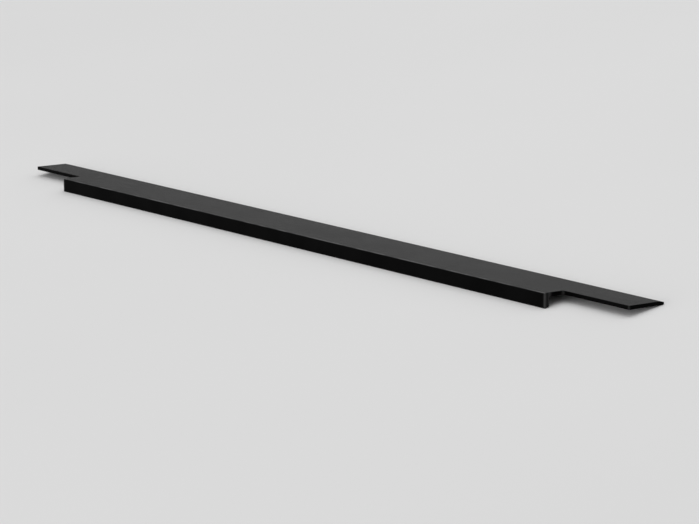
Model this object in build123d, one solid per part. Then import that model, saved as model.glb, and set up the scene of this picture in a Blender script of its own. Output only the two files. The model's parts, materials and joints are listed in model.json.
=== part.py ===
"""Edge pull: one length of extruded L-section, milled at both ends.

The underside of the strip is the seat. Between two end notches, which leave a bare tab at
each end, the strip runs on forwards and turns down as a lip for the fingers. The pull is
stored as it lies on a level floor, on the lip's lower edge and the strip's heel.
Millimetres, X along the strip, +Y towards its back, +Z up, origin under the middle of its box.
"""
import os
from math import asin, atan2, degrees, hypot, radians, tan

from build123d import *

# Driving dimensions
length = 597.0  # the whole strip
seat_depth = 24.2  # from the front edge of the tabs to the strip's back edge
strip_thickness = 2.2
nose_run = 2.8  # bevel along the strip's upper back edge, measured on top
nose_slope = 14.0  # degrees below level
heel_radius = 0.8  # strip's lower back edge
lip_reach = 12.4  # from the front edge of the tabs to the lip's outer face
lip_height = 8.5  # from the top face to the lip's lower edge
lip_thickness = 3.0
toe_land = 0.7  # level land under the lip, in front of its bevel
grip_slope = 20.0  # degrees, bevel from the land up to the lip's inner face
root_radius = 1.0  # inside corner between strip and lip
tab_length = 53.5  # bare strip beside the lip, at each end
notch_radius = 1.0  # inside corners of the end notches
tab_corner_radius = 0.5  # front corners of the tabs, seen from above
lip_corner_radius = 0.5  # front corners of the lip, seen from above
edge_break = 0.3  # rounding of every edge that is left

# Places across the section, with the seat at z = 0 and the front edge of the tabs at y = 0
lip_outer = -lip_reach
lip_inner = lip_outer + lip_thickness
lip_lower = strip_thickness - lip_height
land_end = lip_outer + toe_land
grip_lower = lip_lower + (lip_inner - land_end) * tan(radians(grip_slope))
nose_lower = strip_thickness - nose_run * tan(radians(nose_slope))

# Two faces that meet at less than this many degrees run smoothly into each other
smooth_angle = 5.0


def rounded_face(corners):
    """Close a face through corners, given as a mapping of each point to its radius."""
    return make_face(FilletPolyline(*corners, radius=corners.values(), close=True))


def section():
    """Draw the L-section across the strip, with only its heel and its root rounded yet."""
    return rounded_face({
        (lip_outer, strip_thickness): 0,
        (seat_depth - nose_run, strip_thickness): 0,
        (seat_depth, nose_lower): 0,
        (seat_depth, 0): heel_radius,
        (lip_inner, 0): root_radius,
        (lip_inner, grip_lower): 0,
        (land_end, lip_lower): 0,
        (lip_outer, lip_lower): 0,
    })


def milled_outline():
    """Draw the pull from above: the strip, and the lip between the two end notches."""
    strip_end = length / 2
    lip_end = strip_end - tab_length
    return rounded_face({
        (-lip_end, lip_outer): lip_corner_radius,
        (lip_end, lip_outer): lip_corner_radius,
        (lip_end, 0): notch_radius,
        (strip_end, 0): tab_corner_radius,
        (strip_end, seat_depth): 0,
        (-strip_end, seat_depth): 0,
        (-strip_end, 0): tab_corner_radius,
        (-lip_end, 0): notch_radius,
    })


def sharp_edges(solid):
    """List the edges where two faces meet at an angle, without the seams of rounded corners."""
    found = []
    for edge in solid.edges():
        middle = edge @ 0.5
        one, other = [face.normal_at(middle) for face in solid.faces() if edge in face.edges()]
        if one.get_angle(other) > smooth_angle:
            found.append(edge)
    return found


def milled_bar():
    """Cut the extruded section to the milled outline and break its edges."""
    bar = extrude(Plane.YZ * section(), length / 2, both=True)
    outline = extrude(Pos(0, 0, lip_lower) * milled_outline(), lip_height)
    bar = (bar & outline).solid()
    return fillet(sharp_edges(bar), edge_break)


def resting_lean():
    """Work out how many degrees the strip leans back when the pull lies on its lip and its heel.

    The floor runs under two round edges: the back of the lip's land, where the break is, and
    the heel. The lean is the slope of the line between their centres, and the difference of
    their radii tips it.
    """
    land_centre = land_end - edge_break * tan(radians(grip_slope / 2))
    run = (seat_depth - heel_radius) - land_centre
    rise = heel_radius - (lip_lower + edge_break)
    return degrees(atan2(rise, run) + asin((edge_break - heel_radius) / hypot(run, rise)))


def laid_down(bar):
    """Turn the pull to its resting lean and stand its box on the origin."""
    leaning = Rot(X=-resting_lean()) * bar
    box = leaning.bounding_box()
    return Pos(-box.center().X, -box.center().Y, -box.min.Z) * leaning


edge_pull = laid_down(milled_bar())
os.makedirs("parts", exist_ok=True)
export_step(edge_pull, "parts/edge_pull.step")
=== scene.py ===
"""Looks of the edge pull: its satin black finish, a pale studio and the camera.

The pull is one solid of the frame. It keeps its shape and place, and is dressed here.
Lengths are in metres and angles in degrees. "Fitted" is the pull as it is used, with its strip
level and its lip hanging. The frame holds it as it lies on the floor, leaning back.
"""
import json
import logging
from collections.abc import Mapping, Sequence
from dataclasses import dataclass
from enum import Enum
from math import cos, radians, sin

import bmesh
import bpy
from mathutils import Matrix, Vector

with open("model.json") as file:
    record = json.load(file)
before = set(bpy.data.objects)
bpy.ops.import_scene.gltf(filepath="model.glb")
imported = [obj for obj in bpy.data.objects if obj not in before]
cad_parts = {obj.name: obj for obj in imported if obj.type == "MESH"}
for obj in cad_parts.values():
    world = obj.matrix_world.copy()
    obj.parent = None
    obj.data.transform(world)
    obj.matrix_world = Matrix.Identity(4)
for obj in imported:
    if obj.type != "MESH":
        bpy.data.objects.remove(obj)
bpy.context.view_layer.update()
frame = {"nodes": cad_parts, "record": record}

MM = 0.001
LOG = logging.getLogger("edge_pull")

Triple = tuple[float, float, float]
Colour = tuple[float, float, float, float]
Socket = bpy.types.NodeSocket
Feed = Socket | float | Triple | Colour


def grey(level: float) -> Colour:
    """Give an opaque grey of this linear level."""
    return (level, level, level, 1.0)


class Graph:
    """One node tree, with short ways to add nodes to it and link them."""

    # Places of the colour sockets on the node that mixes values of every kind
    MIX_SHARE, MIX_ONE, MIX_OTHER, MIX_RESULT = 0, 6, 7, 2

    def __init__(self, tree: bpy.types.NodeTree) -> None:
        """Take over a node tree and empty it."""
        self.tree = tree
        tree.nodes.clear()

    def add(self, kind: str, feeds: Mapping[str | int, Feed], **settings: object) -> bpy.types.Node:
        """Add one node.

        Args:
            kind: the node's type, as the program names it.
            feeds: what each input takes, by its name or place: a socket to link, or a value.
            settings: the node's own properties.

        Returns:
            The new node.
        """
        node = self.tree.nodes.new(kind)
        for name, value in settings.items():
            setattr(node, name, value)
        for name, feed in feeds.items():
            if isinstance(feed, Socket):
                self.tree.links.new(feed, node.inputs[name])
            else:
                node.inputs[name].default_value = feed
        return node

    def calc(self, operation: str, *values: Feed) -> Socket:
        """Add a calculation on one to three values and give its result."""
        return self.add("ShaderNodeMath", dict(enumerate(values)), operation=operation).outputs["Value"]

    def scaled(self, vector: Feed, factors: Feed) -> Socket:
        """Multiply a vector by a factor for each axis and give the product."""
        product = self.add("ShaderNodeVectorMath", {0: vector, 1: factors}, operation="MULTIPLY")
        return product.outputs["Vector"]

    def distance(self, point: Feed, places: Sequence[Triple]) -> Socket:
        """Find how far a point is from the nearest of some places.

        Args:
            point: the point.
            places: the places.

        Returns:
            The distance.
        """
        measures = [
            self.add("ShaderNodeVectorMath", {0: point, 1: place}, operation="DISTANCE")
            for place in places
        ]
        nearest, *others = [measure.outputs["Value"] for measure in measures]
        for other in others:
            nearest = self.calc("MINIMUM", nearest, other)
        return nearest

    def facing(self, normal: Feed, axis: str) -> Socket:
        """Give how far a normal points along an axis, either way: 1 along it, 0 across it."""
        shares = self.add("ShaderNodeSeparateXYZ", {"Vector": normal}).outputs
        return self.calc("ABSOLUTE", shares[axis])

    def ramp(self, value: Feed, start: float, end: float, low: float, high: float) -> Socket:
        """Ease a value from low, at start and before it, to high, at end and past it.

        Args:
            value: the value that runs from start to end.
            start: where the ramp begins.
            end: where the ramp ends.
            low: what it gives at its start.
            high: what it gives at its end.

        Returns:
            The eased value.
        """
        feeds = {"Value": value, "From Min": start, "From Max": end, "To Min": low, "To Max": high}
        eased = self.add("ShaderNodeMapRange", feeds, interpolation_type="SMOOTHSTEP")
        return eased.outputs["Result"]

    def blend(self, share: Feed, one: Feed, other: Feed) -> Socket:
        """Mix two colours by the share of the second and give the mixed colour."""
        feeds = {self.MIX_SHARE: share, self.MIX_ONE: one, self.MIX_OTHER: other}
        return self.add("ShaderNodeMix", feeds, data_type="RGBA").outputs[self.MIX_RESULT]

    def noise(self, place: Feed, scale: Feed, detail: float) -> Socket:
        """Add soft noise of this scale and give its value, of about 0.2 to 0.8."""
        feeds = {"Vector": place, "Scale": scale, "Detail": detail}
        return self.add("ShaderNodeTexNoise", feeds).outputs["Fac"]

    def group(self, tree: bpy.types.NodeTree, feeds: Mapping[str, Feed], output: str) -> Socket:
        """Place a shared group with its own feeds and give one of its outputs."""
        return self.add("ShaderNodeGroup", feeds, node_tree=tree).outputs[output]


@dataclass(frozen=True)
class Effects:
    """The node groups that the finishes share, and ways to place them in a finish."""

    clouding: bpy.types.NodeTree
    tooth: bpy.types.NodeTree

    @classmethod
    def built(cls) -> "Effects":
        """Build each group once."""
        return cls(cls.clouding_group(), cls.tooth_group())

    def cloud(self, graph: Graph, place: Socket, size: float) -> Socket:
        """Place the clouds in a finish and give them, from 0 to 1."""
        return graph.group(self.clouding, {"Place": place, "Size": size}, "Cloud")

    def height(self, graph: Graph, place: Socket, grain: float) -> Socket:
        """Place the tooth in a finish and give its height, of about 0.5."""
        return graph.group(self.tooth, {"Place": place, "Grain": grain}, "Height")

    @staticmethod
    def empty_group(name: str, inputs: Mapping[str, str], output: str) -> bpy.types.NodeTree:
        """Make a shader node group that has its sockets and no nodes yet.

        Args:
            name: the group's name.
            inputs: the type of each input socket, by its name.
            output: the name of the value that it puts out.

        Returns:
            The group.
        """
        group = bpy.data.node_groups.new(name, "ShaderNodeTree")
        for socket, kind in inputs.items():
            group.interface.new_socket(socket, in_out="INPUT", socket_type=kind)
        group.interface.new_socket(output, in_out="OUTPUT", socket_type="NodeSocketFloat")
        return group

    @classmethod
    def clouding_group(
        cls, detail: float = 3.0, clear: float = 0.3, full: float = 0.7
    ) -> bpy.types.NodeTree:
        """Make the effect of slow, soft clouds of a given size.

        Args:
            detail: how many finer clouds break up each cloud.
            clear: the noise below which there is no cloud.
            full: the noise above which the cloud is full.

        Returns:
            The group, whose Cloud runs from 0 to 1.
        """
        inputs = {"Place": "NodeSocketVector", "Size": "NodeSocketFloat"}
        group = cls.empty_group("clouding", inputs, "Cloud")
        graph = Graph(group)
        given = graph.add("NodeGroupInput", {}).outputs
        noise = graph.noise(given["Place"], graph.calc("DIVIDE", 1.0, given["Size"]), detail)
        graph.add("NodeGroupOutput", {"Cloud": graph.ramp(noise, clear, full, 0.0, 1.0)})
        return group

    @classmethod
    def tooth_group(cls, detail: float = 2.0) -> bpy.types.NodeTree:
        """Make the effect of a fine, even tooth of a given grain.

        Args:
            detail: how many finer grains break up each grain.

        Returns:
            The group, whose Height is about 0.5.
        """
        inputs = {"Place": "NodeSocketVector", "Grain": "NodeSocketFloat"}
        group = cls.empty_group("tooth", inputs, "Height")
        graph = Graph(group)
        given = graph.add("NodeGroupInput", {}).outputs
        noise = graph.noise(given["Place"], graph.calc("DIVIDE", 1.0, given["Grain"]), detail)
        graph.add("NodeGroupOutput", {"Height": noise})
        return group


@dataclass(frozen=True)
class Fitting:
    """The pull's fitted frame: the middle of the seat under its strip, with Z up from the seat."""

    origin: Vector
    turn: Matrix

    @classmethod
    def from_record(cls, record: Mapping[str, object], mount: str = "edge_seat") -> "Fitting":
        """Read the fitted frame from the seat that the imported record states.

        Args:
            record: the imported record.
            mount: the seat's name in it.

        Returns:
            The fitted frame.
        """
        seat = next(entry for entry in record["mounts"] if entry["name"] == mount)
        up = -Vector(seat["axis"]).normalized()
        along = Vector((1, 0, 0))
        return cls(Vector(seat["pos_m"]), Matrix((along, up.cross(along), up)).transposed())

    def place(self, point: Vector) -> Vector:
        """Give the place in the frame of a point of the fitted pull."""
        return self.origin + self.turn @ point

    def point(self, place: Vector) -> Vector:
        """Give the point of the fitted pull that has this place in the frame."""
        return self.turn.transposed() @ (place - self.origin)


@dataclass(frozen=True)
class PullSizes:
    """Where the pull's edges are in its fitted frame."""

    strip_end: float
    lip_end: float
    lip_outer: float
    lip_inner: float
    lip_lower: float
    tab_front: float
    back: float
    back_upper: float
    top: float

    @classmethod
    def measured(cls, mesh: bpy.types.Mesh, fitting: Fitting, near: float = 0.1 * MM) -> "PullSizes":
        """Measure the pull's mesh.

        Args:
            mesh: the pull's mesh.
            fitting: its fitted frame, whose origin is halfway along and across the seat.
            near: how close to the furthest point is still on the back.

        Returns:
            The sizes.
        """
        points = [fitting.point(vertex.co) for vertex in mesh.vertices]
        back = max(point.y for point in points)
        lip_lower = min(point.z for point in points)
        lip = [point for point in points if point.z < lip_lower / 2]
        return cls(
            strip_end=max(point.x for point in points),
            lip_end=max(point.x for point in lip),
            lip_outer=min(point.y for point in lip),
            lip_inner=max(point.y for point in lip),
            lip_lower=lip_lower,
            tab_front=-back,
            back=back,
            back_upper=max(point.z for point in points if point.y > back - near),
            top=max(point.z for point in points),
        )


@dataclass(frozen=True)
class Surface:
    """A point of the fitted pull's surface and the way that it faces, as sockets of a graph."""

    place: Socket
    normal: Socket

    @classmethod
    def fitted(cls, graph: Graph, fitting: Fitting) -> "Surface":
        """Turn the pull's own coordinates to its fitted frame.

        Args:
            graph: the material's graph.
            fitting: the pull's fitted frame.

        Returns:
            The surface.
        """
        own = graph.add("ShaderNodeTexCoord", {}).outputs
        turn = {"Rotation": tuple(fitting.turn.to_euler())}
        place = {"Vector": own["Object"], "Location": tuple(fitting.origin), **turn}
        normal = {"Vector": own["Normal"], **turn}
        return cls(*[
            graph.add("ShaderNodeMapping", feeds, vector_type="TEXTURE").outputs["Vector"]
            for feeds in (place, normal)
        ])


class Streak(Enum):
    """The fine lines that making the pull leaves on it, each with the axis along which it runs."""

    DRAWN = 0
    CUTTER = 2


@dataclass(frozen=True)
class SatinBlack:
    """Black anodised aluminium: deep black face on, with a satin sheen at low angles."""

    deep: Colour = grey(0.0016)
    bloom: Colour = grey(0.0026)
    # lighter colour: finish worn thin on the long edges, painted highlight on the brow and corners
    worn_and_highlight: Colour = grey(0.13)
    refraction: float = 1.051
    specular: float = 0.49  # just under the plain 0.5, so that the exported model keeps its refraction
    roughness: float = 0.15
    cloud_size: float = 26 * MM
    cloud_roughness: float = 0.03
    grain: float = 0.3 * MM
    streak_length: float = 60 * MM
    streak_width: float = 0.5 * MM
    streak_detail: float = 2.0
    streak_share: float = 0.7
    streak_roughness: float = 0.10
    facing_limits: tuple[float, float] = (0.6, 0.8)  # cosines to an axis: not facing it, facing it
    edge_width: float = 0.55 * MM
    # painted highlight along the brow
    brow_highlight_share: float = 1.0
    edge_share: float = 0.18
    # painted highlights down the lip's end corners, the notch corner and the tab tips
    corner_width: float = 2.0 * MM
    corner_highlight_share: float = 0.28
    tip_width: float = 1.4 * MM
    tip_highlight_share: float = 0.14
    wear_and_highlight_patch: float = 14 * MM
    wear_and_highlight_least: float = 0.5
    relief: float = 0.06 * MM
    relief_strength: float = 0.8

    def material(
        self, slot: str, fitting: Fitting, sizes: PullSizes, effects: Effects
    ) -> bpy.types.Material:
        """Make the finish for one pull.

        Args:
            slot: the material's name.
            fitting: the pull's fitted frame.
            sizes: where its edges are.
            effects: the shared node groups.

        Returns:
            The material.
        """
        material = bpy.data.materials.new(slot)
        material.use_nodes = True
        graph = Graph(material.node_tree)
        surface = Surface.fitted(graph, fitting)
        cloud = effects.cloud(graph, surface.place, self.cloud_size)
        tooth = effects.height(graph, surface.place, self.grain)
        colour = graph.blend(cloud, self.deep, self.bloom)
        lines = self.lines(graph, surface)
        clouded = graph.calc("MULTIPLY_ADD", cloud, self.cloud_roughness, self.roughness)
        drawn = graph.calc("MULTIPLY", lines, self.streak_share)
        height = graph.calc("MULTIPLY_ADD", tooth, 1 - self.streak_share, drawn)
        relief = {"Height": height, "Strength": self.relief_strength, "Distance": self.relief}
        shader = graph.add("ShaderNodeBsdfPrincipled", {
            # the base colour turns lighter with edge wear and with painted highlights on the brow and
            # corners
            "Base Color": graph.blend(self.wear_and_highlight_share(graph, surface, sizes, effects), colour, self.worn_and_highlight),
            "Roughness": graph.calc("MULTIPLY_ADD", lines, self.streak_roughness, clouded),
            "IOR": self.refraction,
            "Specular IOR Level": self.specular,
            "Normal": graph.add("ShaderNodeBump", relief).outputs["Normal"],
        })
        graph.add("ShaderNodeOutputMaterial", {"Surface": shader.outputs["BSDF"]})
        return material

    def streaks(self, graph: Graph, place: Socket, kind: Streak) -> Socket:
        """Draw the fine lines of one kind.

        Args:
            graph: the material's graph.
            place: the point of the fitted pull.
            kind: the kind of line.

        Returns:
            The lines' height, of about 0.5.
        """
        scale = [1 / self.streak_width] * 3
        scale[kind.value] = 1 / self.streak_length
        return graph.noise(graph.scaled(place, tuple(scale)), 1.0, self.streak_detail)

    def lines(self, graph: Graph, surface: Surface) -> Socket:
        """Put drawn lines along the pull and cutter lines on its cut ends.

        Args:
            graph: the material's graph.
            surface: the pull's surface.

        Returns:
            The lines' height, of about 0.5.
        """
        cut = graph.ramp(graph.facing(surface.normal, "X"), *self.facing_limits, 0.0, 1.0)
        drawn = self.streaks(graph, surface.place, Streak.DRAWN)
        cutter = self.streaks(graph, surface.place, Streak.CUTTER)
        return graph.calc("MULTIPLY_ADD", graph.calc("SUBTRACT", cutter, drawn), cut, drawn)

    def wear_and_highlight_share(self, graph: Graph, surface: Surface, sizes: PullSizes, effects: Effects) -> Socket:
        """Find where the colour is lighter: worn thin on long edges, painted highlights on brow and
        corners.

        The brow is the edge between the top and the lip, and a tip is the front corner of a tab.

        Args:
            graph: the material's graph.
            surface: the pull's surface.
            sizes: where its edges are.
            effects: the shared node groups.

        Returns:
            The share of the lighter colour, from edge wear and painted highlights, from 0 to 1.
        """
        x, y, z = graph.add("ShaderNodeSeparateXYZ", {"Vector": surface.place}).outputs
        side = graph.calc("ABSOLUTE", x)
        from_end = graph.add("ShaderNodeCombineXYZ", {"Y": y, "Z": z}).outputs["Vector"]
        from_above = graph.add("ShaderNodeCombineXYZ", {"X": side, "Y": y}).outputs["Vector"]
        to_brow = graph.distance(from_end, [(0, sizes.lip_outer, sizes.top)])
        to_edge = graph.distance(from_end, [
            (0, sizes.lip_outer, sizes.lip_lower),
            (0, sizes.back, sizes.back_upper),
        ])
        to_corner = graph.distance(from_above, [
            (sizes.lip_end, sizes.lip_outer, 0),
            (sizes.lip_end, sizes.lip_inner, 0),
            (sizes.lip_end, sizes.tab_front, 0),
        ])
        to_tip = graph.distance(from_above, [(sizes.strip_end, sizes.tab_front, 0)])
        # painted highlight along the brow
        brow = graph.ramp(to_brow, 0.0, self.edge_width, self.brow_highlight_share, 0.0)
        # finish worn thin along the lip's lower edge and the back edge
        edge = graph.ramp(to_edge, 0.0, self.edge_width, self.edge_share, 0.0)
        # painted highlights down the corners and tips, on upright faces only
        corner = graph.ramp(to_corner, 0.0, self.corner_width, self.corner_highlight_share, 0.0)
        tip = graph.ramp(to_tip, 0.0, self.tip_width, self.tip_highlight_share, 0.0)
        upright = graph.ramp(graph.facing(surface.normal, "Z"), *self.facing_limits, 1.0, 0.0)
        corners = graph.calc("MULTIPLY", graph.calc("MAXIMUM", corner, tip), upright)
        cloud = effects.cloud(graph, surface.place, self.wear_and_highlight_patch)
        patchy = graph.ramp(cloud, 0.0, 1.0, self.wear_and_highlight_least, 1.0)
        wear_and_highlight_mask = graph.calc("MAXIMUM", brow, graph.calc("MAXIMUM", edge, corners))
        return graph.calc("MULTIPLY", wear_and_highlight_mask, patchy)


@dataclass(frozen=True)
class EdgePull:
    """The pull: one solid of the frame, dressed in its finish."""

    node: str = "edge_pull"
    slot: str = "black_finish"
    finish: SatinBlack = SatinBlack()

    def dress(self, fitting: Fitting, effects: Effects) -> bpy.types.Object:
        """Give the pull its finish.

        Args:
            fitting: the pull's fitted frame.
            effects: the shared node groups.

        Returns:
            The pull.
        """
        pull = frame["nodes"][self.node]
        sizes = PullSizes.measured(pull.data, fitting)
        material = self.finish.material(self.slot, fitting, sizes, effects)
        for slot in pull.material_slots:
            slot.material = material
        return pull


@dataclass(frozen=True)
class Softbox:
    """A soft lamp, aimed at a place."""

    name: str
    place: Triple
    aim: Triple
    width: float
    height: float
    power: float

    def hang(self) -> bpy.types.Object:
        """Hang the lamp.

        Returns:
            The lamp.
        """
        lamp = bpy.data.lights.new(self.name, "AREA")
        lamp.shape = "RECTANGLE"
        lamp.size = self.width
        lamp.size_y = self.height
        lamp.energy = self.power
        hung = bpy.data.objects.new(self.name, lamp)
        hung.visible_camera = False
        hung.location = self.place
        towards = Vector(self.aim) - Vector(self.place)
        hung.rotation_euler = towards.to_track_quat("-Z", "Y").to_euler()
        bpy.context.scene.collection.objects.link(hung)
        return hung


@dataclass(frozen=True)
class FloorPaper:
    """Matt pale paper with a slight tooth."""

    pale: Colour = grey(0.705)
    shade: Colour = grey(0.695)
    roughness: float = 0.8
    specular: float = 0.0
    cloud_size: float = 0.4
    grain: float = 0.8 * MM
    relief: float = 0.02 * MM
    relief_strength: float = 0.2

    def material(self, slot: str, effects: Effects) -> bpy.types.Material:
        """Make the paper.

        Args:
            slot: the material's name.
            effects: the shared node groups.

        Returns:
            The material.
        """
        material = bpy.data.materials.new(slot)
        material.use_nodes = True
        graph = Graph(material.node_tree)
        place = graph.add("ShaderNodeTexCoord", {}).outputs["Object"]
        cloud = effects.cloud(graph, place, self.cloud_size)
        tooth = effects.height(graph, place, self.grain)
        relief = {"Height": tooth, "Strength": self.relief_strength, "Distance": self.relief}
        shader = graph.add("ShaderNodeBsdfPrincipled", {
            "Base Color": graph.blend(cloud, self.pale, self.shade),
            "Roughness": self.roughness,
            "Specular IOR Level": self.specular,
            "Normal": graph.add("ShaderNodeBump", relief).outputs["Normal"],
        })
        graph.add("ShaderNodeOutputMaterial", {"Surface": shader.outputs["BSDF"]})
        return material


@dataclass(frozen=True)
class Studio:
    """A pale floor under soft light, in an even surround that is darker far to the left."""

    floor_radius: float = 12.0
    floor_segments: int = 64
    paper: FloorPaper = FloorPaper()
    surround: Colour = grey(0.735)
    left: Colour = grey(0.40)
    left_limits: tuple[float, float] = (-0.757, -0.895)  # X of a ray where the darkening begins and ends
    softboxes: tuple[Softbox, ...] = (
        Softbox("over", place=(0.0, 0.6, 2.5), aim=(0.0, 0.0, 0.0), width=3.0, height=3.0, power=22.0),
        Softbox("front", place=(0.0, -5.0, 0.8), aim=(0.0, 0.0, 0.8), width=7.0, height=1.6, power=140.0),
    )

    def lay_floor(self, effects: Effects) -> bpy.types.Object:
        """Lay the floor under the pull.

        Args:
            effects: the shared node groups.

        Returns:
            The floor.
        """
        mesh = bpy.data.meshes.new("floor")
        shape = bmesh.new()
        bmesh.ops.create_circle(
            shape, cap_ends=True, radius=self.floor_radius, segments=self.floor_segments
        )
        shape.to_mesh(mesh)
        shape.free()
        mesh.materials.append(self.paper.material("floor_paper", effects))
        floor = bpy.data.objects.new("floor", mesh)
        bpy.context.scene.collection.objects.link(floor)
        return floor

    def light(self) -> list[bpy.types.Object]:
        """Light the studio with its surround and its softboxes.

        Returns:
            The lamps.
        """
        world = bpy.data.worlds.new("surround")
        world.use_nodes = True
        graph = Graph(world.node_tree)
        ray = graph.add("ShaderNodeTexCoord", {}).outputs["Generated"]
        along = graph.add("ShaderNodeSeparateXYZ", {"Vector": ray}).outputs["X"]
        level = graph.blend(graph.ramp(along, *self.left_limits, 0.0, 1.0), self.surround, self.left)
        sky = graph.add("ShaderNodeBackground", {"Color": level})
        graph.add("ShaderNodeOutputWorld", {"Surface": sky.outputs["Background"]})
        bpy.context.scene.world = world
        return [softbox.hang() for softbox in self.softboxes]


@dataclass(frozen=True)
class Camera:
    """The camera, placed about the fitted pull."""

    aim: Triple = (109.01 * MM, -53.66 * MM, 2.2 * MM)
    distance: float = 1.8927
    azimuth: float = 54.109
    elevation: float = 10.266
    roll: float = -0.1
    lens: float = 175.5
    sensor_width: float = 36.0

    def set_up(self, fitting: Fitting) -> bpy.types.Object:
        """Set up the camera.

        Args:
            fitting: the pull's fitted frame.

        Returns:
            The camera.
        """
        data = bpy.data.cameras.new("camera")
        data.lens = self.lens
        data.sensor_width = self.sensor_width
        azimuth, elevation, roll = map(radians, (self.azimuth, self.elevation, self.roll))
        right = Vector((cos(azimuth), sin(azimuth), 0))
        outwards = Vector((sin(azimuth), -cos(azimuth), 0))
        back = outwards * cos(elevation) + Vector((0, 0, sin(elevation)))
        turn = Matrix((right, back.cross(right), back)).transposed() @ Matrix.Rotation(roll, 3, "Z")
        stand = Matrix.Translation(fitting.place(Vector(self.aim) + back * self.distance))
        camera = bpy.data.objects.new("camera", data)
        camera.matrix_world = stand @ (fitting.turn @ turn).to_4x4()
        bpy.context.scene.collection.objects.link(camera)
        bpy.context.scene.camera = camera
        return camera


def main() -> None:
    """Dress the pull, lay and light the studio and set up the camera."""
    logging.basicConfig(level=logging.INFO, format="%(name)s: %(message)s")
    bpy.context.scene.view_settings.view_transform = "Standard"
    fitting = Fitting.from_record(frame["record"])
    effects = Effects.built()
    studio = Studio()
    pull = EdgePull().dress(fitting, effects)
    LOG.info("%s dressed, %d triangles", pull.name, len(pull.data.polygons))
    LOG.info("%s laid", studio.lay_floor(effects).name)
    for lamp in studio.light():
        LOG.info("%s hung", lamp.name)
    LOG.info("%s set up", Camera().set_up(fitting).name)


if __name__ == "__main__":
    main()
